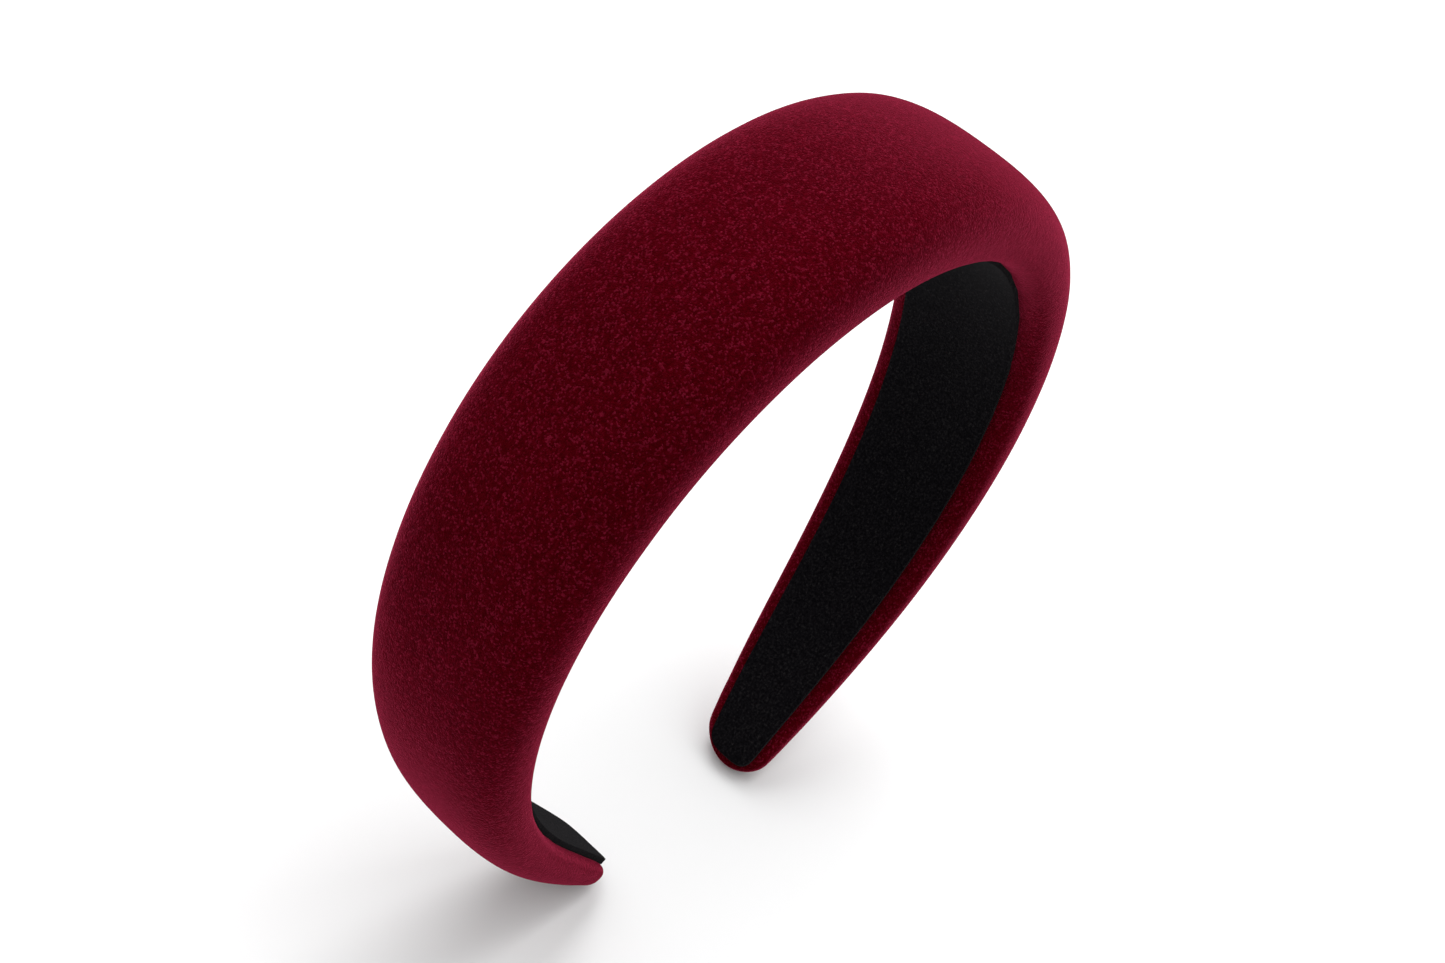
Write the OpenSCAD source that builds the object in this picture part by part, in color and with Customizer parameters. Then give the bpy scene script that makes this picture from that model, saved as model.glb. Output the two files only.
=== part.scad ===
// Padded velvet headband: a springy strip under a foam pad, covered in velvet and lined with felt.
// Millimetres. +Z is up, X runs ear to ear, -Y is the front edge. The band stands on its two tips.
// Every layer is swept along one curve, so layers that touch share the same surface.

/* [Band line] */
// Length of the inner face from the crown to one tip
half_len = 190; // [176:1:204]
// How far the arm has turned a quarter of the way down, in degrees
turn_quarter = 38; // [36:0.5:40]
// How far the arm has turned half way down, in degrees
turn_half = 82.5; // [80:0.5:85]
// How far the arm has turned at its tip, in degrees
turn_tip = 135; // [128:1:142]
// How far the tips sit in front of the crown
tip_sweep = 17; // [0:0.5:20]

/* [Padded section] */
// Width of the covered band at the crown
crown_width = 39; // [36:0.2:44]
// Width of the covered band near the tips
tip_width = 12.8; // [12.8:0.2:16]
// Depth of the padded band at the crown
crown_depth = 15.1; // [12:0.1:18]
// Depth of the covered band near the tips
tip_depth = 5.9; // [5.6:0.1:7]
// Length over which each tip rounds off
tip_round = 6; // [5.6:0.2:7]
// Height of the widest line, as a share of the depth
widest_at = 0.195; // [0.18:0.005:0.3]

/* [Inner layers] */
// Width of the springy strip at the crown
core_width = 30.4; // [27:0.2:31]
// Width of the springy strip near the tips
core_tip_width = 9.6; // [8.6:0.2:10]
// Thickness of the springy strip
core_t = 1.6; // [1.2:0.1:1.8]
// Thickness of the velvet with its backing
velvet_t = 0.8; // [0.6:0.1:1]
// Thickness of each glue tape
tape_t = 0.15; // [0.1:0.05:0.2]
// Share of the strip's half width that the turned-in velvet leaves open
slot_share = 0.5; // [0.4:0.05:0.6]
// Distance from each tip to the end of the opening between the hems
slot_back = 14; // [13:0.5:16]

/* [Lining] */
// Width of the felt lining at the crown
felt_width = 29; // [26:0.2:30]
// Width of the felt lining near the tips
felt_tip_width = 10; // [8.6:0.2:10]
// Thickness of the felt where it lies on the hems
felt_t = 1.2; // [0.8:0.1:1.4]
// Distance from each tip to the end of the felt
felt_back = 1.2; // [1:0.1:3]

/* [Hidden] */

// Levels measured outwards from the line of the inner face.
hem_n = 0.4;
inner_n = hem_n + velvet_t;
core_n = inner_n + tape_t;
pad_n = core_n + core_t;
foam_n = pad_n + tape_t;
felt_n = hem_n - felt_t;

// Shape numbers of the padded section and of the taper towards the tips.
width_fade = 2.35;
width_round = 0.89;
depth_fade = 2.85;
depth_round = 1.16;
side_power = 0.77;
top_power = 0.48;
tip_thin = 0.2;

// Stations along one arm: even steps down to the slot's end, then finer ones round the tip.
body_steps = 26;
slot_s = half_len - slot_back;
round_s = half_len - tip_round;
core_back = 4.6;
core_s = half_len - core_back;
core_round = 4;
core_end_share = 0.62;

// Turn of the arm as an odd polynomial through the three stated angles.
turn_5 = 64 / 45 * ((turn_tip - 2 * turn_half) - 4 * (2 * turn_half - 4 * turn_quarter));
turn_3 = 4 / 3 * ((turn_tip - 2 * turn_half) - 15 / 16 * turn_5);
turn_1 = turn_tip - turn_3 - turn_5;
function turn(v) = turn_1 * v + turn_3 * pow(v, 3) + turn_5 * pow(v, 5);

// The inner line, added up in short steps from the crown down one arm.
fine_n = 300;
fine_step = half_len / fine_n;
fine = [
  for (
    k = 0, x = 0, z = 0;
    k <= fine_n;
    x = x + fine_step * cos(turn((k + 0.5) / fine_n)),
    z = z - fine_step * sin(turn((k + 0.5) / fine_n)),
    k = k + 1
  ) [k / fine_n, x, z]
];
line_x = [for (p = fine) [p[0], p[1]]];
line_z = [for (p = fine) [p[0], p[2]]];

// A point of the band: s along it, y across it and n outwards, before the frame's own shift.
function raw(s, y, n) =
  let (v = abs(s) / half_len, g = s < 0 ? -1 : 1, t = turn(v))
  [
    g * (lookup(v, line_x) + n * sin(t)),
    y - tip_sweep * v * v,
    lookup(v, line_z) + n * cos(t)
  ];

// Half widths and depth at a station.
function taper(s) = pow(1 - pow(min(1, abs(s) / half_len), width_fade), width_round);
function between(low, high, s) = low + (high - low) * taper(s);
function half_width(s) = between(tip_width, crown_width, s) / 2;
function core_half(s) = between(core_tip_width, core_width, s) / 2;
function felt_half(s) = between(felt_tip_width, felt_width, s) / 2;
function depth(s) =
  let (v = min(1, abs(s) / half_len))
  tip_depth + (crown_depth - tip_depth) * pow(1 - pow(v, depth_fade), depth_round);
function cap(s, end) =
  let (q = max(0, (abs(s) - round_s) / (end - round_s)))
  sqrt(max(0.02, 1 - q * q));
function core_edge(s) =
  let (q = min(1, max(0, (abs(s) - (core_s - core_round)) / core_round)))
  core_half(s) * (1 - (1 - core_end_share) * (1 - sqrt(1 - q * q)));
function slot_edge(s) = core_half(s) * slot_share;

// Station lists: mirrored about the crown.
body = [for (k = [0 : body_steps]) slot_s * k / body_steps];
function both(half) = concat([for (k = [len(half) - 1 : -1 : 1]) -half[k]], half);
function round_off(from, end) = [for (a = [14 : 13.2 : 80]) from + (end - from) * sin(a)];
outer_st = both(concat(body, [slot_s + 3.5, slot_s + 6.5, round_s], round_off(round_s, half_len)));
core_tail = [slot_s + 3.5, slot_s + 6.5, core_s - 1.6, core_s - 0.6, core_s];
core_st = both(concat(body, core_tail));
cavity_end = half_len - velvet_t;
cavity_st = both(concat(body, core_tail, round_off(core_s, cavity_end)));
slot_st = both(body);
felt_s = half_len - felt_back;
felt_cap = 4.8;
felt_st = both(concat(body, [slot_s + 4, felt_s - felt_cap], round_off(felt_s - felt_cap, felt_s)));

// One closed section of the padded band, pulled in by t, as [y, n] pairs.
low_steps = 4;
top_steps = 8;
function section(s, t, end) =
  let (
    c = cap(s, end),
    w = (half_width(s) - t) * c,
    f = (core_half(s) + 0.4) * c,
    e = core_edge(s) * c,
    h = slot_edge(s) * c,
    n0 = hem_n + t,
    full = depth(s) - t - n0,
    rise = full * (tip_thin + (1 - tip_thin) * c),
    wide = max(widest_at * depth(s), hem_n + velvet_t + 0.6) - n0,
    m = wide * rise / full,
    low = [
      for (k = [1 : low_steps])
        let (a = 90 * k / low_steps)
        [f + (w - f) * sin(a), n0 + m * (1 - cos(a))]
    ],
    top = [
      for (k = [1 : top_steps])
        let (a = 90 * k / top_steps)
        [w * pow(cos(a) + 1e-9, side_power), n0 + m + (rise - m) * pow(sin(a), top_power)]
    ],
    right = concat(low, [for (k = [0 : top_steps - 2]) top[k]])
  )
  concat(
    [[-f, n0], [-e, n0], [-h, n0], [0, n0], [h, n0], [e, n0], [f, n0]],
    right,
    [[0, n0 + rise]],
    [for (k = [len(right) - 1 : -1 : 0]) [-right[k][0], right[k][1]]]
  );
ring_m = 7 + 2 * (low_steps + top_steps - 1) + 1;
hub = 7 + low_steps + top_steps - 1;

// The frame's shift: the origin is under the middle of the standing band.
skin = [for (s = outer_st) for (p = section(s, 0, half_len)) raw(s, p[0], p[1])];
low_y = min([for (p = skin) p[1]]);
high_y = max([for (p = skin) p[1]]);
low_z = min([for (p = skin) p[2]]);
shift = [0, -(low_y + high_y) / 2, -low_z];
function at(s, y, n) = raw(s, y, n) + shift;

// Triangles of one grid cell, turned clockwise as seen from outside.
function cell(b, m, i, j) =
  let (p = b + i * m + j % m, q = p + m, s = b + i * m + (j + 1) % m, r = s + m)
  [[p, q, r], [p, r, s]];
function flip(tris) = [for (t = tris) [t[0], t[2], t[1]]];
function in_patch(i, j, p) = i >= p[0] && i < p[1] && j >= p[2] && j < p[3];

// The skin of a swept body: rows of m points, with a fan at each end and a patch left open.
function tube(b, rows, m, h, p) =
  concat(
    [for (i = [0 : rows - 2]) for (j = [0 : m - 1]) if (!in_patch(i, j, p)) for (t = cell(b, m, i, j)) t],
    [for (k = [1 : m - 2]) [b + h, b + (h + k) % m, b + (h + k + 1) % m]],
    [
      for (k = [1 : m - 2])
        let (e = b + (rows - 1) * m)
        [e + h, e + (h + k + 1) % m, e + (h + k) % m]
    ]
  );

// Walls round a patch, from points a(i, j) of one grid to points b(i, j) of another.
function wall(a0, a1, b0, b1) = [[a0, a1, b1], [a0, b1, b0]];
function walls(p, ba, ma, bb, mb, ib, jb) =
  concat(
    [
      for (i = [p[0] : p[1] - 1])
        for (t = wall(ba + i * ma + p[2], ba + (i + 1) * ma + p[2],
                      bb + (i - ib) * mb + p[2] - jb, bb + (i + 1 - ib) * mb + p[2] - jb)) t
    ],
    [
      for (i = [p[0] : p[1] - 1])
        for (t = wall(ba + (i + 1) * ma + p[3], ba + i * ma + p[3],
                      bb + (i + 1 - ib) * mb + p[3] - jb, bb + (i - ib) * mb + p[3] - jb)) t
    ],
    [
      for (j = [p[2] : p[3] - 1])
        for (t = wall(ba + p[1] * ma + j, ba + p[1] * ma + j + 1,
                      bb + (p[1] - ib) * mb + j - jb, bb + (p[1] - ib) * mb + j + 1 - jb)) t
    ],
    [
      for (j = [p[2] : p[3] - 1])
        for (t = wall(ba + p[0] * ma + j + 1, ba + p[0] * ma + j,
                      bb + (p[0] - ib) * mb + j + 1 - jb, bb + (p[0] - ib) * mb + j - jb)) t
    ]
  );

none = [0, 0, 0, 0];

// A plain swept strip with four-cornered sections from a list of rows.
module strip(rows) {
  pts = [for (r = rows) for (p = r) p];
  polyhedron(points = pts, faces = tube(0, len(rows), 4, 0, none), convexity = 8);
}

// A swept body with a rectangular patch pushed in or out to a second level.
module pocketed(rows, m, h, p, floor_rows) {
  base = len(rows) * m;
  width = p[3] - p[2] + 1;
  pts = concat([for (r = rows) for (q = r) q], [for (r = floor_rows) for (q = r) q]);
  floor_cells = [
    for (i = [0 : p[1] - p[0] - 1])
      for (j = [0 : width - 2])
        let (a = base + i * width + j)
        for (t = [[a, a + width, a + width + 1], [a, a + width + 1, a + 1]]) t
  ];
  polyhedron(
    points = pts,
    faces = concat(tube(0, len(rows), m, h, p), floor_cells, walls(p, 0, m, base, width, p[0], p[2])),
    convexity = 8
  );
}

// Springy moulded strip that gives the band its shape and grip.
module core_band() {
  color([0.82, 0.82, 0.8])
  strip([
    for (s = core_st)
      let (e = core_edge(s))
      [at(s, -e, core_n), at(s, e, core_n), at(s, e, pad_n), at(s, -e, pad_n)]
  ]);
}

// Tape that holds the foam on the strip.
module pad_tape() {
  color([0.9, 0.88, 0.8])
  strip([
    for (s = core_st)
      let (e = core_edge(s))
      [at(s, -e, pad_n), at(s, e, pad_n), at(s, e, foam_n), at(s, -e, foam_n)]
  ]);
}

// Domed foam pad, with a recess that takes the strip and its tapes.
module foam_pad() {
  tail = len(cavity_st) - len(core_st);
  first = tail / 2;
  last = first + len(core_st) - 1;
  patch = [first, last, 1, 5];
  rows = [for (s = cavity_st) [for (p = section(s, velvet_t, cavity_end)) at(s, p[0], p[1])]];
  floors = [
    for (i = [first : last])
      let (s = cavity_st[i], q = section(s, velvet_t, cavity_end))
      [for (j = [1 : 5]) at(s, q[j][0], foam_n)]
  ];
  color([0.93, 0.91, 0.82])
  pocketed(rows, ring_m, hub, patch, floors);
}

// Velvet cover: wraps the pad, closes round both tips and turns in under the strip.
module velvet_cover() {
  rows_out = [for (s = outer_st) [for (p = section(s, 0, half_len)) at(s, p[0], p[1])]];
  rows_in = [for (s = cavity_st) [for (p = section(s, velvet_t, cavity_end)) at(s, p[0], p[1])]];
  n_out = len(outer_st);
  n_in = len(cavity_st);
  first_out = (n_out - len(slot_st)) / 2;
  first_in = (n_in - len(slot_st)) / 2;
  span = len(slot_st) - 1;
  patch_out = [first_out, first_out + span, 2, 4];
  patch_in = [first_in, first_in + span, 2, 4];
  base = n_out * ring_m;
  pts = concat([for (r = rows_out) for (q = r) q], [for (r = rows_in) for (q = r) q]);
  rim = walls(patch_out, 0, ring_m, base + first_in * ring_m, ring_m, first_out, 0);
  color([0.3, 0, 0.06])
  polyhedron(
    points = pts,
    faces = concat(
      tube(0, n_out, ring_m, hub, patch_out),
      flip(tube(base, n_in, ring_m, hub, patch_in)),
      rim
    ),
    convexity = 12
  );
}

// Tape under one turned-in edge; g is the side, -1 for the front and 1 for the back.
module hem_tape(g) {
  strip([
    for (s = core_st)
      let (
        a = abs(s) > slot_s + 0.01 ? 0.2 : slot_edge(s),
        e = core_edge(s),
        y0 = g > 0 ? a : -e,
        y1 = g > 0 ? e : -a
      )
      [at(s, y0, inner_n), at(s, y1, inner_n), at(s, y1, core_n), at(s, y0, core_n)]
  ]);
}

// Tape that holds the velvet's front edge under the strip.
module front_hem_tape() {
  color([0.88, 0.86, 0.76])
  hem_tape(-1);
}

// Tape that holds the velvet's back edge under the strip.
module back_hem_tape() {
  color([0.88, 0.86, 0.76])
  hem_tape(1);
}

// Tape that holds the lining on the strip, between the turned-in edges.
module lining_tape() {
  color([0.88, 0.86, 0.76])
  strip([
    for (s = slot_st)
      let (e = slot_edge(s))
      [at(s, -e, inner_n), at(s, e, inner_n), at(s, e, core_n), at(s, -e, core_n)]
  ]);
}

// Felt lining: covers the hems and presses into the opening between them.
module felt_lining() {
  ease = 0.3;
  first = (len(felt_st) - len(slot_st)) / 2;
  last = first + len(slot_st) - 1;
  rows = [
    for (s = felt_st)
      let (
        q = max(0, (abs(s) - (felt_s - felt_cap)) / felt_cap),
        w = felt_half(s) * sqrt(max(0.02, 1 - q * q)),
        h = min(slot_edge(s), 0.6 * w)
      )
      [
        at(s, -w + ease, felt_n), at(s, w - ease, felt_n), at(s, w, felt_n + ease), at(s, w, hem_n),
        at(s, h, hem_n), at(s, -h, hem_n), at(s, -w, hem_n), at(s, -w, felt_n + ease)
      ]
  ];
  floors = [
    for (i = [first : last])
      let (s = felt_st[i], h = slot_edge(s))
      [at(s, h, inner_n), at(s, -h, inner_n)]
  ];
  color([0.03, 0.03, 0.035])
  pocketed(rows, 8, 0, [first, last, 4, 5], floors);
}

core_band();
pad_tape();
foam_pad();
velvet_cover();
front_hem_tape();
back_hem_tape();
lining_tape();
felt_lining();
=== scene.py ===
# %% [markdown]
# # A padded velvet headband
#
# This lesson dresses a packed headband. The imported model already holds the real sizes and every
# layer: a springy strip, tapes, a foam pad, a velvet cover and a felt lining. Blender's part is the
# soft goods and the finishes.
#
# The cell below loads that model as a fixed frame. Nothing in it is moved.

# %% Load the frame
import math

import bmesh
import bpy
from mathutils import Matrix, Vector, noise


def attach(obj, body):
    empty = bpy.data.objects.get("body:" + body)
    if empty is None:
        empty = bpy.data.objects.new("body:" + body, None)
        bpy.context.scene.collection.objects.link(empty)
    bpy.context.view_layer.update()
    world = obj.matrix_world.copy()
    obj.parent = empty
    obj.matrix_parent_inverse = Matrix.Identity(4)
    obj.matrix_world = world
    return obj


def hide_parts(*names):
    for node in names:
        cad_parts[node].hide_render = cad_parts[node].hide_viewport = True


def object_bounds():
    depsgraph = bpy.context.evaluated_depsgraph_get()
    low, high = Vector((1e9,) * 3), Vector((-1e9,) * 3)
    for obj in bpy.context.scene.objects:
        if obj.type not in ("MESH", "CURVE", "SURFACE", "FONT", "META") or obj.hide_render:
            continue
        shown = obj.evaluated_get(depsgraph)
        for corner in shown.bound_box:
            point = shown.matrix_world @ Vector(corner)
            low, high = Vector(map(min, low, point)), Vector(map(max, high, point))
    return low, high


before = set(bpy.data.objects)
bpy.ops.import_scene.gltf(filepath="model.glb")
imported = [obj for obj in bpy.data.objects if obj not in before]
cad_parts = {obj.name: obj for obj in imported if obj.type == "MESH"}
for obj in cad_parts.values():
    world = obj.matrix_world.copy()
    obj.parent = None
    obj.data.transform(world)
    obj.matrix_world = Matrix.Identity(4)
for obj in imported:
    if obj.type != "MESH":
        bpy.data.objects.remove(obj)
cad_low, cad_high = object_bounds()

print("pieces in the frame:", ", ".join(sorted(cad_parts)))
print("box in mm:", [round(1000 * (b - a), 1) for a, b in zip(cad_low, cad_high)])

# %% [markdown]
# ## The band's line
#
# A headband is cut flat and sprung into an arch. Every layer follows one curve, the line of the inner
# face. It turns slowly at the crown and down the arms, and the tips end turned well under, so that
# the band grips.
#
# The turn of the curve is an odd polynomial of the distance from the crown, which makes both arms
# mirror images. Adding up short steps of that turn gives the curve itself. The tips also sit a little
# in front of the crown.

# %% The curve of the inner face
MM = 0.001
HALF_LEN = 190 * MM
TURN_QUARTER, TURN_HALF, TURN_TIP = 38, 82.5, 135
TIP_SWEEP = 17 * MM

TURN_5 = 64 / 45 * ((TURN_TIP - 2 * TURN_HALF) - 4 * (2 * TURN_HALF - 4 * TURN_QUARTER))
TURN_3 = 4 / 3 * ((TURN_TIP - 2 * TURN_HALF) - 15 / 16 * TURN_5)
TURN_1 = TURN_TIP - TURN_3 - TURN_5


def turn(v):
    """How far the band has turned at the share v of one arm, in radians."""
    return math.radians(TURN_1 * v + TURN_3 * v**3 + TURN_5 * v**5)


LINE_STEPS = 2000
line = [(0.0, 0.0)]
for k in range(LINE_STEPS):
    a = turn((k + 0.5) / LINE_STEPS)
    x, z = line[-1]
    line.append((x + math.cos(a) * HALF_LEN / LINE_STEPS, z - math.sin(a) * HALF_LEN / LINE_STEPS))

CROWN_WIDTH, TIP_WIDTH = 39 * MM, 12.8 * MM
CROWN_DEPTH, TIP_DEPTH = 15.1 * MM, 5.9 * MM
crown = Vector((0, cad_high.y - CROWN_WIDTH / 2, cad_high.z - CROWN_DEPTH))


def at(s, y, n):
    """The point s along the band from the crown, y across it and n outwards from the inner face."""
    v = min(1.0, abs(s) / HALF_LEN)
    k = min(LINE_STEPS - 1, int(v * LINE_STEPS))
    part = v * LINE_STEPS - k
    x = line[k][0] + (line[k + 1][0] - line[k][0]) * part
    z = line[k][1] + (line[k + 1][1] - line[k][1]) * part
    side = -1 if s < 0 else 1
    a = turn(v)
    return crown + Vector((side * (x + n * math.sin(a)), y - TIP_SWEEP * v * v, z + n * math.cos(a)))


print("gap between the tips at rest: %.0f mm" % (2 * line[-1][0] / MM))

# %% [markdown]
# ## The padded section
#
# Cut across, the band is flat underneath and domed on top, with its widest line low down. The dome is
# a superellipse: fuller than an ellipse, as foam is under tight cloth. The width and depth both taper
# to the tips, and the last few millimetres close in a quarter circle.

# %% Sizes of the section
CORE_WIDTH, CORE_TIP_WIDTH = 30.4 * MM, 9.6 * MM
VELVET_T = 0.8 * MM
HEM_N = 0.4 * MM
HEM_EASE = 0.4 * MM
WIDEST_AT = 0.195
LEAST_WIDEST = 1.8 * MM
WIDTH_FADE, WIDTH_ROUND = 2.35, 0.89
DEPTH_FADE, DEPTH_ROUND = 2.85, 1.16
SIDE_POWER, TOP_POWER = 0.77, 0.48
DOME_STEPS, UNDER_STEPS = 32, 12

TIP_ROUND = 6 * MM
ROUND_S = HALF_LEN - TIP_ROUND
TIP_THIN = 0.2
TIP_LIFT = 0.8 * MM
NOSE_S = HALF_LEN - 16 * MM
NOSE_GROWTH = 1.5
NOSE_SIDE_POWER, NOSE_TOP_POWER = 0.95, 0.85
print("section at the crown: %.0f x %.1f mm" % (CROWN_WIDTH / MM, CROWN_DEPTH / MM))

# %% [markdown]
# The functions below work out one section. `half_outline` walks down one side of it, over the dome
# and round to the hem's edge underneath. Near each tip the dome's powers rise towards those of an
# ellipse, which rounds the nose.

# %% Widths, depths and the outline of one section


def taper(s):
    """1 at the crown and 0 at the tip."""
    return (1 - min(1.0, abs(s) / HALF_LEN) ** WIDTH_FADE) ** WIDTH_ROUND


def between(tip, middle, s):
    """A width that goes from middle at the crown to tip at the ends."""
    return tip + (middle - tip) * taper(s)


def depth(s):
    """How deep the covered band is."""
    share = (1 - min(1.0, abs(s) / HALF_LEN) ** DEPTH_FADE) ** DEPTH_ROUND
    return TIP_DEPTH + (CROWN_DEPTH - TIP_DEPTH) * share


def core_half(s):
    """Half the width of the springy strip."""
    return between(CORE_TIP_WIDTH, CORE_WIDTH, s) / 2


def closing(s):
    """1 along the band, then the height of a quarter circle over the rounded tip."""
    q = max(0.0, (abs(s) - ROUND_S) / TIP_ROUND)
    return math.sqrt(max(0.0, 1 - q * q))


def half_outline(s, open_half, inset=0.0):
    """One side of a section as (y, n) pairs, from the top of the dome round to the hem's edge."""
    c = closing(s)
    width = (between(TIP_WIDTH, CROWN_WIDTH, s) / 2 - inset) * c
    flat = (core_half(s) + HEM_EASE) * c
    low = HEM_N + inset + TIP_LIFT * (1 - c)
    full = depth(s) - inset - low
    rise = full * (TIP_THIN + (1 - TIP_THIN) * c)
    wide = max(WIDEST_AT * depth(s), LEAST_WIDEST) - HEM_N - inset
    middle = wide * rise / full
    nose = max(0.0, (abs(s) - NOSE_S) / (HALF_LEN - NOSE_S)) ** NOSE_GROWTH
    side_power = SIDE_POWER + (NOSE_SIDE_POWER - SIDE_POWER) * nose
    top_power = TOP_POWER + (NOSE_TOP_POWER - TOP_POWER) * nose
    points = []
    for k in range(DOME_STEPS + 1):
        a = math.pi / 2 * (1 - k / DOME_STEPS)
        y = width * max(0.0, math.cos(a)) ** side_power
        points.append((y, low + middle + (rise - middle) * max(0.0, math.sin(a)) ** top_power))
    for k in range(1, UNDER_STEPS + 1):
        a = math.pi / 2 * (1 - k / UNDER_STEPS)
        points.append((flat + (width - flat) * math.sin(a), low + middle * (1 - math.cos(a))))
    points.append((min(flat, open_half * c), low))
    return points


def walk(points, share):
    """The point at a share of the length of a line of points, and that length."""
    steps = [math.dist(a, b) for a, b in zip(points, points[1:])]
    left = share * sum(steps)
    for (a, b), d in zip(zip(points, points[1:]), steps):
        if left <= d or b is points[-1]:
            t = min(1.0, left / d) if d > 0 else 0.0
            return (a[0] + (b[0] - a[0]) * t, a[1] + (b[1] - a[1]) * t), sum(steps)
        left -= d


CROWN_OPENING = CORE_WIDTH / 4
crown_round = walk(half_outline(0.0, CROWN_OPENING), 1.0)[1]
print("velvet round the crown from hem edge to hem edge: %.0f mm" % (2 * crown_round / MM))

# %% [markdown]
# ## Small helpers for the mesh work
#
# Each soft layer is cut as a flat grid, as cloth is, and every vertex of the grid is then carried to
# its place on the band. One helper spreads the grid's stations, closer together where the tips round
# off. Another finishes a bmesh: it welds the seams, points the faces outwards and makes the object.

# %% Station and finishing helpers
TIP_SHARE = 0.09
WELD = 0.02 * MM


def station(x, end=HALF_LEN):
    """Where along the band a grid column lies, for x from -1 to 1, with fine steps round the tips."""
    m = abs(x)
    if m <= 1 - TIP_SHARE:
        s = ROUND_S * m / (1 - TIP_SHARE)
    else:
        s = ROUND_S + (end - ROUND_S) * math.sin(math.pi / 2 * (m - 1 + TIP_SHARE) / TIP_SHARE)
    return math.copysign(s, x)


def finish_mesh(bm, name):
    """Weld what meets, point the faces outwards, shade smooth and return a new object."""
    bmesh.ops.remove_doubles(bm, verts=bm.verts, dist=WELD)
    bmesh.ops.recalc_face_normals(bm, faces=bm.faces)
    for face in bm.faces:
        face.smooth = True
    mesh = bpy.data.meshes.new(name)
    bm.to_mesh(mesh)
    bm.free()
    piece = bpy.data.objects.new(name, mesh)
    bpy.context.scene.collection.objects.link(piece)
    return piece


def unevenness(point, size, height):
    """A smooth random rise and fall, the same on every run, with features of about the given size."""
    return height * noise.noise(point / size)


def mark_cut(bm, uv, flat):
    """Give every corner of the mesh its place on the flat cut, in metres, as UVs."""
    for face in bm.faces:
        for loop in face.loops:
            loop[uv].uv = flat[loop.vert]


print("grid and mesh helpers ready")


# %% [markdown]
# ## The velvet cover
#
# The real cover is one long leaf of velvet. It is laid over the foam, drawn tight, and its edges are
# turned in under the strip and stuck. It has no seam on top, so one grid makes it: the grid's long
# way runs from tip to tip, and its short way runs from hem edge to hem edge round the dome.
#
# The hem edges stay apart along the arch, where the strip is stuck to the lining. They meet at the
# tips, where the cloth is gathered under.

# %% Wrap the velvet from its flat cut
VELVET_ALONG, VELVET_ACROSS = 180, 60
SLOT_END = HALF_LEN - 14 * MM
SLOT_CLOSE = 9 * MM
PAD_WAVE, PAD_WAVE_HEIGHT = 16 * MM, 0.10 * MM
FULLER = 0.22 * MM
HEM_RISE = 3 * MM


def opening_half(s):
    """Half the width that the turned-in edges leave open under the strip."""
    q = max(0.0, (abs(s) - (SLOT_END - SLOT_CLOSE)) / SLOT_CLOSE)
    return core_half(s) / 2 * math.sqrt(max(0.0, 1 - q * q))


def wrap_velvet(name, fuller=0.0):
    """The cover as a grid carried onto the pad; its UVs are the flat cut, in metres."""
    bm = bmesh.new()
    uv = bm.loops.layers.uv.new("cut")
    bmesh.ops.create_grid(bm, x_segments=VELVET_ALONG, y_segments=VELVET_ACROSS, size=1)
    outlines = {}
    flat = {}
    for vert in bm.verts:
        gx, gy = vert.co.x, vert.co.y
        key = round(gx, 5)
        if key not in outlines:
            s = station(gx)
            outlines[key] = (s, half_outline(s, opening_half(s), -fuller))
        s, points = outlines[key]
        (y, n), length = walk(points, abs(gy))
        n += fuller * max(0.0, 1 - (n - points[-1][1]) / HEM_RISE)
        place = at(s, math.copysign(y, gy), n)
        lift = unevenness(place, PAD_WAVE, PAD_WAVE_HEIGHT) * closing(s)
        vert.co = at(s, math.copysign(y, gy), n + lift)
        flat[vert] = (s, math.copysign(abs(gy) * length, gy))
    mark_cut(bm, uv, flat)
    return finish_mesh(bm, name)


velvet = wrap_velvet("velvet_wrap", FULLER)
print("velvet:", len(velvet.data.polygons), "faces")

# %% [markdown]
# ## Press the velvet out with cloth simulation
#
# The cover is pulled tight over springy foam, which pushes back at it. A cloth simulation does the
# same. The hem is pinned fast, gravity is off, and pressure from inside works against the pull of the
# sheet. Every other point is held loosely where it started, because the foam carries it. The pull
# draws the sheet in a little, so it starts a fifth of a millimetre too full.
#
# Cloth of this size hardly moves in the solver. So a copy twelve times larger is simulated and its
# moves are scaled back, with a limit on how far any point may move.

# %% Swell the velvet
ENLARGE = 12.0
PRESSURE = 4.0
LAST_FRAME = 20
FOAM_HOLD = 0.28
FURTHEST = 0.4 * MM
LEAST_MOVE = 1e-9


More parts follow.
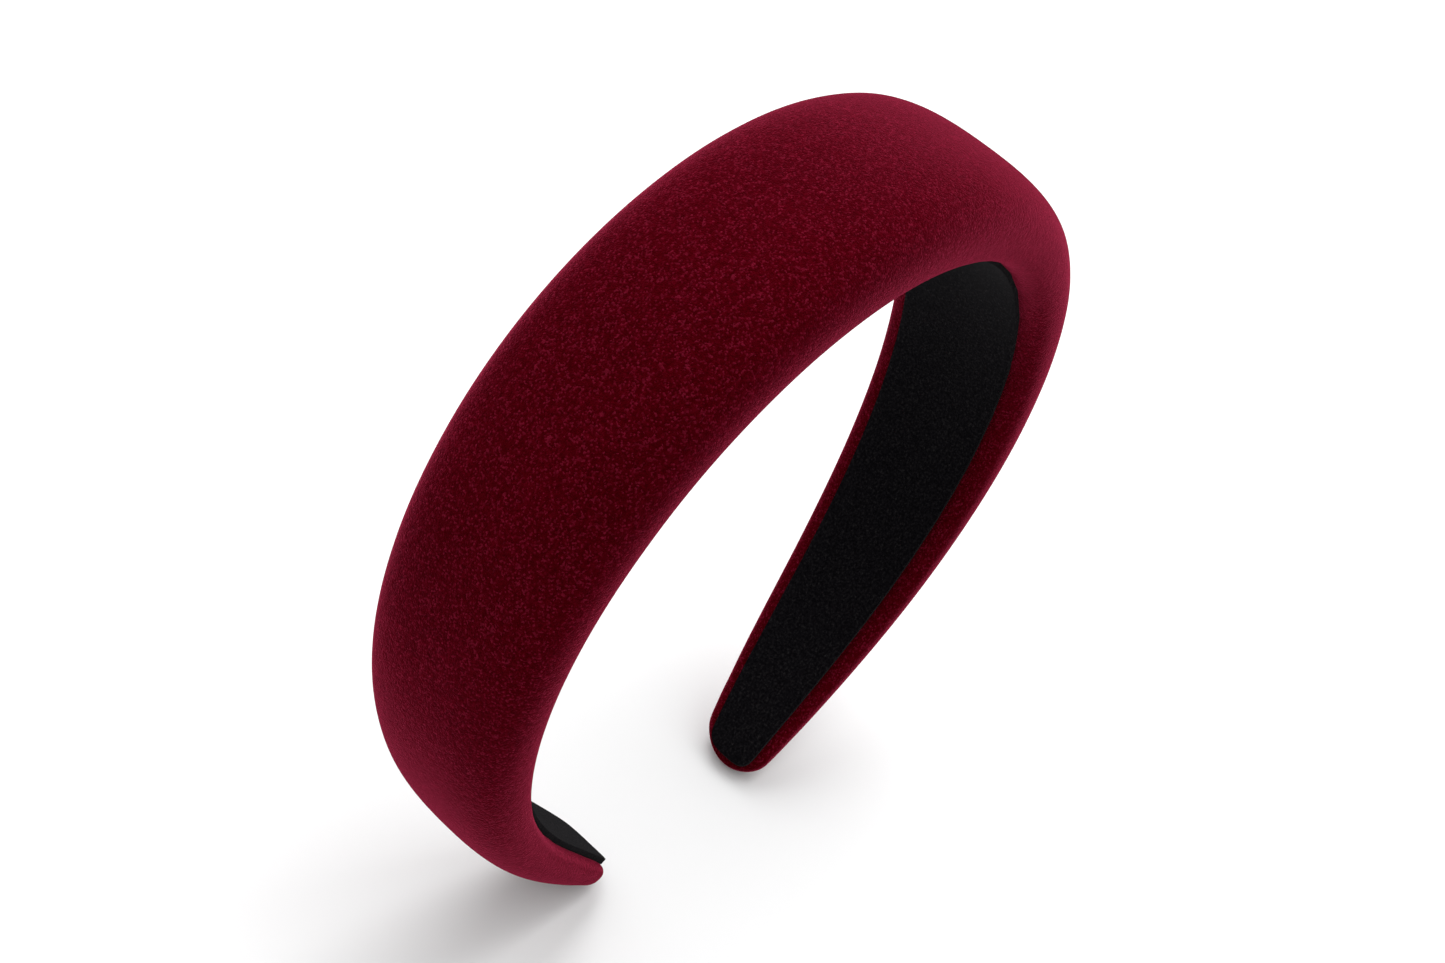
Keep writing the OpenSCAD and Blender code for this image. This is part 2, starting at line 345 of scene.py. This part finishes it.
def swell(piece, furthest):
    """Simulate an enlarged copy under pressure and carry its moves back, none longer than furthest."""
    bm = bmesh.new()
    bm.from_mesh(piece.data)
    hem = [vert.index for vert in bm.verts if vert.is_boundary]
    bm.free()
    copy = bpy.data.objects.new("swelling", piece.data.copy())
    copy.data.transform(Matrix.Scale(ENLARGE, 4))
    bpy.context.scene.collection.objects.link(copy)
    pins = copy.vertex_groups.new(name="hem")
    pins.add(range(len(piece.data.vertices)), FOAM_HOLD, "REPLACE")
    pins.add(hem, 1.0, "REPLACE")
    cloth = copy.modifiers.new("cloth", "CLOTH")
    cloth.settings.vertex_group_mass = "hem"
    cloth.settings.use_pressure = True
    cloth.settings.uniform_pressure_force = PRESSURE
    cloth.settings.effector_weights.gravity = 0.0
    cloth.point_cache.frame_start = 1
    cloth.point_cache.frame_end = LAST_FRAME
    for step in range(1, LAST_FRAME + 1):
        bpy.context.scene.frame_set(step)
    swollen = copy.evaluated_get(bpy.context.evaluated_depsgraph_get()).to_mesh()
    moves = []
    for vert, end in zip(piece.data.vertices, swollen.vertices):
        move = end.co / ENLARGE - vert.co
        moves.append(math.copysign(move.length, move.dot(vert.normal)))
        vert.co += move * min(1.0, furthest / max(move.length, LEAST_MOVE))
    bpy.data.objects.remove(copy)
    bpy.context.scene.frame_set(1)
    return sorted(moves)


moves = swell(velvet, FURTHEST)
spread = (moves[0] / MM, moves[-1] / MM, moves[len(moves) // 2] / MM)
print("moves outwards from %.2f to %.2f mm, middle one %.2f mm, before the limit" % spread)

# %% [markdown]
# One round of subdivision takes the facets out of the cover. Solidify then gives the cloth its
# thickness, inwards, so that the pile's surface stays put.

# %% Smooth the velvet and give it its thickness
finer = velvet.modifiers.new("finer", "SUBSURF")
finer.levels = 1
finer.render_levels = 1
backing = velvet.modifiers.new("backing", "SOLIDIFY")
backing.thickness = VELVET_T
outwards = sum((p.center - crown).dot(p.normal) for p in velvet.data.polygons)
backing.offset = -1 if outwards > 0 else 1
backing.use_even_offset = False
print("solidify offset:", backing.offset)

# %% [markdown]
# ## The felt lining
#
# The lining is cut from black felt a little over a millimetre thick. It covers the turned-in edges,
# runs almost to the end of each tip and is cut off nearly square there. Its edge shows as a thick
# dark line, so the felt gets a real thickness and a small bevel. It sinks a touch along the middle,
# between the two hems.

# %% Lay the felt
FELT_WIDTH, FELT_TIP_WIDTH = 29 * MM, 9.4 * MM
FELT_T = 1.25 * MM
FELT_END = HALF_LEN - 1.3 * MM
FELT_ROUND = 4.2 * MM
FELT_CORNER = 3.4
FELT_LEAST = 1.2 * MM
FELT_ALONG, FELT_ACROSS = 300, 18
FELT_DIP = 0.3 * MM
FELT_WAVE, FELT_WAVE_HEIGHT = 9 * MM, 0.06 * MM


def felt_half(s):
    """Half the felt's width, with its end cut nearly square."""
    q = max(0.0, (abs(s) - (FELT_END - FELT_ROUND)) / FELT_ROUND)
    corner = max(0.0, 1 - min(1.0, q) ** FELT_CORNER) ** (1 / FELT_CORNER)
    return between(FELT_TIP_WIDTH, FELT_WIDTH, s) / 2 * corner


def lay_felt(name):
    """The lining as a grid carried onto the hems."""
    bm = bmesh.new()
    uv = bm.loops.layers.uv.new("cut")
    bmesh.ops.create_grid(bm, x_segments=FELT_ALONG, y_segments=FELT_ACROSS, size=1)
    flat = {}
    for vert in bm.verts:
        gx, gy = vert.co.x, vert.co.y
        s = station(gx, FELT_END)
        y = gy * max(felt_half(s), FELT_LEAST)
        dip = FELT_DIP * max(0.0, 1 - (2 * gy) ** 2) * taper(s)
        place = at(s, y, HEM_N + dip)
        vert.co = at(s, y, HEM_N + dip + unevenness(place, FELT_WAVE, FELT_WAVE_HEIGHT))
        flat[vert] = (s, y)
    mark_cut(bm, uv, flat)
    return finish_mesh(bm, name)


felt = lay_felt("felt_sheet")
thick = felt.modifiers.new("thickness", "SOLIDIFY")
thick.thickness = FELT_T
up = sum(p.normal.z for p in felt.data.polygons if abs(p.center.x) < CROWN_WIDTH / 2)
thick.offset = -1 if up > 0 else 1
edge = felt.modifiers.new("cut edge", "BEVEL")
edge.width = 0.22 * MM
edge.segments = 2
edge.limit_method = "ANGLE"
edge.angle_limit = math.radians(50)

# %% [markdown]
# ## The foam pad
#
# Under the velvet lies a moulded foam pad, domed on top, with a shallow recess underneath for the
# strip. It is one closed form, so its grid goes all the way round: over the dome, round the sides,
# along the underside and up into the recess, where its two edges meet in the middle and are welded.

# %% Mould the foam
FOAM_ALONG, FOAM_ACROSS = 220, 80
FOAM_LOW = 3.1 * MM
FOAM_END = HALF_LEN - 1.1 * MM
FOAM_GAP = 0.15 * MM
CORE_GAP = 0.1 * MM
ROOF_LEAST = 0.3 * MM
NO_OPENING = 1.0


def mould_foam(name):
    """The pad as a grid closed all round, a little inside the velvet."""
    bm = bmesh.new()
    bmesh.ops.create_grid(bm, x_segments=FOAM_ALONG, y_segments=FOAM_ACROSS, size=1)
    outlines = {}
    for vert in bm.verts:
        gx, gy = vert.co.x, vert.co.y
        key = round(gx, 5)
        if key not in outlines:
            s = station(gx, FOAM_END)
            c = closing(s)
            edge_y = (core_half(s) + CORE_GAP) * c
            points = half_outline(s, NO_OPENING, VELVET_T + FOAM_GAP)
            roof = min(FOAM_LOW, points[0][1] - ROOF_LEAST)
            points = points[:-1] + [(min(edge_y, points[-2][0]), roof), (0.0, roof)]
            outlines[key] = (s, points)
        s, points = outlines[key]
        (y, n), length = walk(points, abs(gy))
        vert.co = at(s, math.copysign(y, gy), n)
    return finish_mesh(bm, name)


foam = mould_foam("foam_dome")
print("foam:", len(foam.data.polygons), "faces")

# %% [markdown]
# ## Materials
#
# Every finish is made of nodes, so nothing needs a picture. Patterns read the object's own
# coordinates, in metres, or the flat cut that the velvet and felt carry as UVs. A few helpers keep
# the node code short.

# %% Node helpers
def new_material(name):
    """A new node material; returns it, its node tree, its shader and its coordinates."""
    material = bpy.data.materials.new(name)
    material.use_nodes = True
    tree = material.node_tree
    shader = tree.nodes["Principled BSDF"]
    return material, tree, shader, tree.nodes.new("ShaderNodeTexCoord").outputs


def add(tree, kind, **values):
    """Add one node and set its inputs by name, with underscores for spaces."""
    node = tree.nodes.new(kind)
    for key, value in values.items():
        if hasattr(node, key):
            setattr(node, key, value)
        else:
            node.inputs[key.replace("_", " ")].default_value = value
    return node


def ramp(tree, source, stops):
    """A colour ramp fed by a socket, with (position, colour) stops."""
    node = tree.nodes.new("ShaderNodeValToRGB")
    elements = node.color_ramp.elements
    while len(elements) < len(stops):
        elements.new(0.5)
    for element, (position, colour) in zip(elements, stops):
        element.position = position
        element.color = (*colour, 1) if len(colour) == 3 else colour
    tree.links.new(source, node.inputs["Fac"])
    return node.outputs["Color"]


def grain(tree, vector, size, detail=2.0, rough=0.55):
    """A noise pattern whose features are about size metres across."""
    node = add(tree, "ShaderNodeTexNoise", Scale=1 / size, Detail=detail, Roughness=rough)
    tree.links.new(vector, node.inputs["Vector"])
    return node.outputs["Fac"]


def mix(tree, kind, a, b):
    """Two colours joined in full by multiplying or adding; b is a socket or a plain colour."""
    node = tree.nodes.new("ShaderNodeMix")
    node.data_type = "RGBA"
    node.blend_type = kind
    factor, first, second = node.inputs[0], node.inputs[6], node.inputs[7]
    factor.default_value = 1.0
    tree.links.new(a, first)
    if isinstance(b, bpy.types.NodeSocket):
        tree.links.new(b, second)
    else:
        second.default_value = (*b, 1)
    return node.outputs[2]


def grey(level):
    """A grey as a colour."""
    return (level, level, level)


def matt(shader, sheen, sheen_roughness):
    """A surface without gloss, with only the soft glow of fibres seen from the side."""
    shader.inputs["Roughness"].default_value = 1.0
    shader.inputs["Specular IOR Level"].default_value = 0.0
    shader.inputs["Sheen Weight"].default_value = sheen
    shader.inputs["Sheen Roughness"].default_value = sheen_roughness


def bump(tree, shader, height, distance, strength=1.0):
    """Raise the shader's surface by a height pattern."""
    node = add(tree, "ShaderNodeBump", Strength=strength, Distance=distance)
    tree.links.new(height, node.inputs["Height"])
    tree.links.new(node.outputs["Normal"], shader.inputs["Normal"])


print("node helpers ready")

# %% [markdown]
# ## Velvet
#
# Velvet is a short upright pile. Seen end on, light falls between the fibres and is lost, so it is
# dark; seen across, the fibres' sides catch the light, so edges are paler and pinker. The shader's
# sheen does that. The pile itself shows as a fine speckle, darker and lighter, with a few longer
# fibres lying across it. The brightest pink tuft tips are painted highlights: light caught on the
# pile, put into the colour along with the tips' own paler tone.

# %% Velvet finish
PILE, TUFT, FIBRE, CLOUD = 0.9 * MM, 0.30 * MM, 1.3 * MM, 22 * MM
DEEP_RED, RED = (0.053, 0.0001, 0.0016), (0.066, 0.0002, 0.0024)
PALE_RED = (0.085, 0.0006, 0.0045)
TUFT_PAINTED_GLINT, FIBRE_GLOW = (0.066, 0.005, 0.014), (0.022, 0.003, 0.007)
SIDE_GLOW = (0.62, 0.055, 0.130)
BLACK = (0, 0, 0)

velvet_look, tree, shader, coords = new_material("burgundy_velvet")
pile = grain(tree, coords["Object"], PILE, detail=3.0, rough=0.75)
clouds = grain(tree, coords["Object"], CLOUD, detail=2.0)
tufts = add(tree, "ShaderNodeTexVoronoi", Scale=1 / TUFT)
tree.links.new(coords["Object"], tufts.inputs["Vector"])
tuft = add(tree, "ShaderNodeSeparateColor")
tree.links.new(tufts.outputs["Color"], tuft.inputs["Color"])
lay_map = add(tree, "ShaderNodeMapping")
lay_map.inputs["Scale"].default_value = (1.0, 3.5, 1.0)
tree.links.new(coords["UV"], lay_map.inputs["Vector"])
fibres = grain(tree, lay_map.outputs["Vector"], FIBRE, detail=2.0, rough=0.6)

base = ramp(tree, pile, [(0.36, DEEP_RED), (0.51, RED), (0.66, PALE_RED)])
shadows = ramp(tree, tuft.outputs["Red"], [(0.0, grey(0.72)), (0.8, grey(1.0))])
patches = ramp(tree, clouds, [(0.3, grey(0.9)), (0.7, grey(1.0))])
# Painted highlight: random tufts get pale pink tips added to the colour, their own paler tone and the light
# caught on them painted in together.
painted_glints = ramp(tree, tuft.outputs["Red"], [(0.72, BLACK), (1.0, TUFT_PAINTED_GLINT)])
strays = ramp(tree, fibres, [(0.64, BLACK), (0.76, FIBRE_GLOW)])
colour = mix(tree, "MULTIPLY", base, shadows)
colour = mix(tree, "MULTIPLY", colour, patches)
colour = mix(tree, "ADD", colour, painted_glints)
colour = mix(tree, "ADD", colour, strays)
tree.links.new(colour, shader.inputs["Base Color"])
matt(shader, sheen=1.0, sheen_roughness=0.34)
shader.inputs["Sheen Tint"].default_value = (*SIDE_GLOW, 1)

rise = add(tree, "ShaderNodeMath", operation="MULTIPLY_ADD")
rise.inputs[1].default_value = -0.5
tree.links.new(tufts.outputs["Distance"], rise.inputs[0])
tree.links.new(pile, rise.inputs[2])
bump(tree, shader, rise.outputs["Value"], 0.18 * MM)
velvet.data.materials.append(velvet_look)
print("velvet nodes:", len(tree.nodes))

# %% [markdown]
# ## Felt
#
# Felt is matted short wool, nearly black here. It has no weave. Fibres lie every way, a few of them
# pale, and the surface is matt with a faint fuzz.

# %% Felt finish
MAT, HAIR = 0.5 * MM, 1.1 * MM
DEEP_BLACK, WOOL_BLACK = (0.0020, 0.0017, 0.0023), (0.0052, 0.0046, 0.0056)
WORN_BLACK = (0.018, 0.0165, 0.0168)
PALE_HAIR = (0.020, 0.0195, 0.020)

felt_look, tree, shader, coords = new_material("black_felt")
mat = grain(tree, coords["Object"], MAT, detail=4.0, rough=0.65)
fibre_map = add(tree, "ShaderNodeMapping")
fibre_map.inputs["Scale"].default_value = (1.0, 3.4, 1.0)
fibre_map.inputs["Rotation"].default_value = (0, 0, 0.5)
tree.links.new(coords["UV"], fibre_map.inputs["Vector"])
hairs = grain(tree, fibre_map.outputs["Vector"], HAIR, detail=3.0)
base = ramp(tree, mat, [(0.38, DEEP_BLACK), (0.55, WOOL_BLACK), (0.74, WORN_BLACK)])
pale = ramp(tree, hairs, [(0.64, BLACK), (0.78, grey(1.0))])
colour = mix(tree, "ADD", base, mix(tree, "MULTIPLY", pale, PALE_HAIR))
tree.links.new(colour, shader.inputs["Base Color"])
matt(shader, sheen=0.028, sheen_roughness=0.5)
bump(tree, shader, mat, 0.15 * MM, 0.8)
felt.data.materials.append(felt_look)
print("felt nodes:", len(tree.nodes))

# %% [markdown]
# ## Foam
#
# The foam is off-white with open cells. It is sealed inside, as the strip and the tapes are, but each
# layer gets its own finish, so that the band can be taken apart.

# %% Foam finish
CELL = 0.7 * MM
PAINTED_CELL_SHADE, CELL_FACE = (0.62, 0.57, 0.44), (0.84, 0.80, 0.68)

foam_look, tree, shader, coords = new_material("open_cell_foam")
cells = add(tree, "ShaderNodeTexVoronoi", Scale=1 / CELL)
tree.links.new(coords["Object"], cells.inputs["Vector"])
# The cell hollows, which the bump sinks, are painted darker: painted shade in the cells; the ridges keep
# the foam's own colour.
colour = ramp(tree, cells.outputs["Distance"], [(0.1, PAINTED_CELL_SHADE), (0.5, CELL_FACE)])
tree.links.new(colour, shader.inputs["Base Color"])
shader.inputs["Roughness"].default_value = 0.9
bump(tree, shader, cells.outputs["Distance"], 0.3 * MM, 0.8)
foam.data.materials.append(foam_look)
print("foam nodes:", len(tree.nodes))

# %% [markdown]
# ## Strip and tapes
#
# The strip is milky moulded plastic with faint flow marks, and the tapes are thin amber film with a
# glossy face. These five layers keep the frame's own meshes and only change their finish.

# %% Plastic and tape finishes
PLASTIC, CLOUDY_PLASTIC = (0.66, 0.66, 0.63), (0.78, 0.78, 0.75)
AMBER, PALE_AMBER = (0.60, 0.53, 0.34), (0.74, 0.69, 0.50)

plastic_look, tree, shader, coords = new_material("milky_plastic")
flow = grain(tree, coords["Object"], 9 * MM, detail=3.0)
fine = grain(tree, coords["Object"], 0.4 * MM)
tree.links.new(ramp(tree, flow, [(0.3, PLASTIC), (0.7, CLOUDY_PLASTIC)]), shader.inputs["Base Color"])
tree.links.new(ramp(tree, fine, [(0.3, grey(0.34)), (0.7, grey(0.46))]), shader.inputs["Roughness"])
bump(tree, shader, fine, 0.03 * MM, 0.4)

tape_look, tree, shader, coords = new_material("amber_tape")
film = grain(tree, coords["Object"], 4 * MM, detail=3.0)
tree.links.new(ramp(tree, film, [(0.3, AMBER), (0.7, PALE_AMBER)]), shader.inputs["Base Color"])
tree.links.new(ramp(tree, film, [(0.3, grey(0.2)), (0.7, grey(0.38))]), shader.inputs["Roughness"])
bump(tree, shader, film, 0.05 * MM, 0.3)

TAPES = ("pad_tape", "front_hem_tape", "back_hem_tape", "lining_tape")
inner_looks = {"core_band": plastic_look}
for name in TAPES:
    inner_looks[name] = tape_look
for name, look in inner_looks.items():
    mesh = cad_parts[name].data
    mesh.materials.clear()
    mesh.materials.append(look)
print("inner finishes:", ", ".join(inner_looks))

# %% [markdown]
# ## Tie the pieces to the frame
#
# Each new piece rides on the one rigid body and stands for the plain CAD layer that it replaces.

# %% Ride and replace
for piece, node, slot_name in (
    (velvet, "velvet_cover", "velvet"),
    (felt, "felt_lining", "felt"),
    (foam, "foam_pad", "foam"),
):
    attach(piece, "root")
    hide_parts(node)
print("all pieces ride on the one body")

# %% [markdown]
# The velvet's cut is its way round the crown by its way along the crest, less the stretch it was
# pulled on with. The felt's cut is its width at the crown by its length.

# %% [markdown]
# ## Floor
#
# The floor is pale and plain. It is a little see-through, which softens the shadows, and it fades out
# far from the headband, so that it has no horizon.

# %% Floor
FLOOR_HALF = 3.0
FADE_FROM, FADE_TO = 0.5, 1.6
FLOOR_SOLID = 0.92
FLOOR_WHITE = (0.84, 0.84, 0.843)
bm = bmesh.new()
bmesh.ops.create_grid(bm, x_segments=24, y_segments=24, size=FLOOR_HALF)
floor = finish_mesh(bm, "floor")
floor_look, tree, shader, coords = new_material("pale_floor")
far = add(tree, "ShaderNodeVectorMath", operation="LENGTH")
tree.links.new(coords["Object"], far.inputs[0])
fade = add(tree, "ShaderNodeMapRange", From_Min=FADE_FROM, From_Max=FADE_TO, To_Min=FLOOR_SOLID, To_Max=0.0)
tree.links.new(far.outputs["Value"], fade.inputs["Value"])
tree.links.new(fade.outputs["Result"], shader.inputs["Alpha"])
shader.inputs["Base Color"].default_value = (*FLOOR_WHITE, 1)
shader.inputs["Roughness"].default_value = 0.9
shader.inputs["Specular IOR Level"].default_value = 0.0
floor.data.materials.append(floor_look)
print("floor reaches", FLOOR_HALF, "m each way")

# %% [markdown]
# ## Light
#
# Most of the light comes from a white room, brighter on one side and above than on the other, which
# shapes the arch. The camera itself sees the room as one even white. A broad soft light from above,
# on the bright side, gives the soft shadows where the tips meet the floor.

# %% White room and soft light
ROOM_SEEN, ROOM_DIM, ROOM_BRIGHT = 0.97, 0.09, 1.38
BRIGHT_SIDE = Vector((0.72, 0.42, 0.6)).normalized()
SKY_ENERGY, SKY_ANGLE = 2.0, 60
SKY_SHINES = Vector((-0.5, -0.3, -1.0))
WHITE = (1, 1, 1, 1)
world = bpy.data.worlds.new("white_room")
bpy.context.scene.world = world
world.use_nodes = True
tree = world.node_tree
tree.nodes.clear()
coords = add(tree, "ShaderNodeTexCoord").outputs
side = add(tree, "ShaderNodeVectorMath", operation="DOT_PRODUCT")
side.inputs[1].default_value = BRIGHT_SIDE
tree.links.new(coords["Generated"], side.inputs[0])
level = add(tree, "ShaderNodeMapRange", From_Min=-1.0, To_Min=ROOM_DIM, To_Max=ROOM_BRIGHT)
tree.links.new(side.outputs["Value"], level.inputs["Value"])
lit = add(tree, "ShaderNodeBackground", Color=WHITE)
tree.links.new(level.outputs["Result"], lit.inputs["Strength"])
seen = add(tree, "ShaderNodeBackground", Color=WHITE, Strength=ROOM_SEEN)
path = add(tree, "ShaderNodeLightPath")
choose = add(tree, "ShaderNodeMixShader")
out = add(tree, "ShaderNodeOutputWorld")
tree.links.new(path.outputs["Is Camera Ray"], choose.inputs["Fac"])
tree.links.new(lit.outputs["Background"], choose.inputs[1])
tree.links.new(seen.outputs["Background"], choose.inputs[2])
tree.links.new(choose.outputs["Shader"], out.inputs["Surface"])

sky_data = bpy.data.lights.new("soft_sky", "SUN")
sky_data.energy = SKY_ENERGY
sky_data.angle = math.radians(SKY_ANGLE)
sky = bpy.data.objects.new("soft_sky", sky_data)
bpy.context.scene.collection.objects.link(sky)
sky.rotation_euler = SKY_SHINES.to_track_quat("-Z", "Y").to_euler()
bpy.context.scene.view_settings.view_transform = "Standard"
print("room light", ROOM_DIM, "to", ROOM_BRIGHT, "sky", SKY_ENERGY)

# %% [markdown]
# ## Camera
#
# The camera stands in front of one tip, above the crown, and looks down along the band. Its place is
# measured from the crown of the inner face.

# %% Camera
CAMERA_FROM_CROWN = Vector((-304.4, -136.2, 176.8)) * MM
CAMERA_LOOK = Vector((0.7444, 0.3338, -0.5784))
CAMERA_UP = Vector((0.3029, 0.6031, 0.7379))
LENS, SENSOR = 55.84, 36.0
NEAREST_SEEN, FURTHEST_SEEN = 0.01, 20.0
camera_data = bpy.data.cameras.new("camera")
camera_data.lens = LENS
camera_data.sensor_width = SENSOR
camera_data.clip_start = NEAREST_SEEN
camera_data.clip_end = FURTHEST_SEEN
camera = bpy.data.objects.new("camera", camera_data)
bpy.context.scene.collection.objects.link(camera)
look = CAMERA_LOOK.normalized()
right = look.cross(CAMERA_UP).normalized()
above = right.cross(look)
basis = Matrix((right, above, -look)).transposed().to_4x4()
camera.matrix_world = Matrix.Translation(crown + CAMERA_FROM_CROWN) @ basis
bpy.context.scene.camera = camera
print("camera at", [round(c, 3) for c in camera.matrix_world.translation])
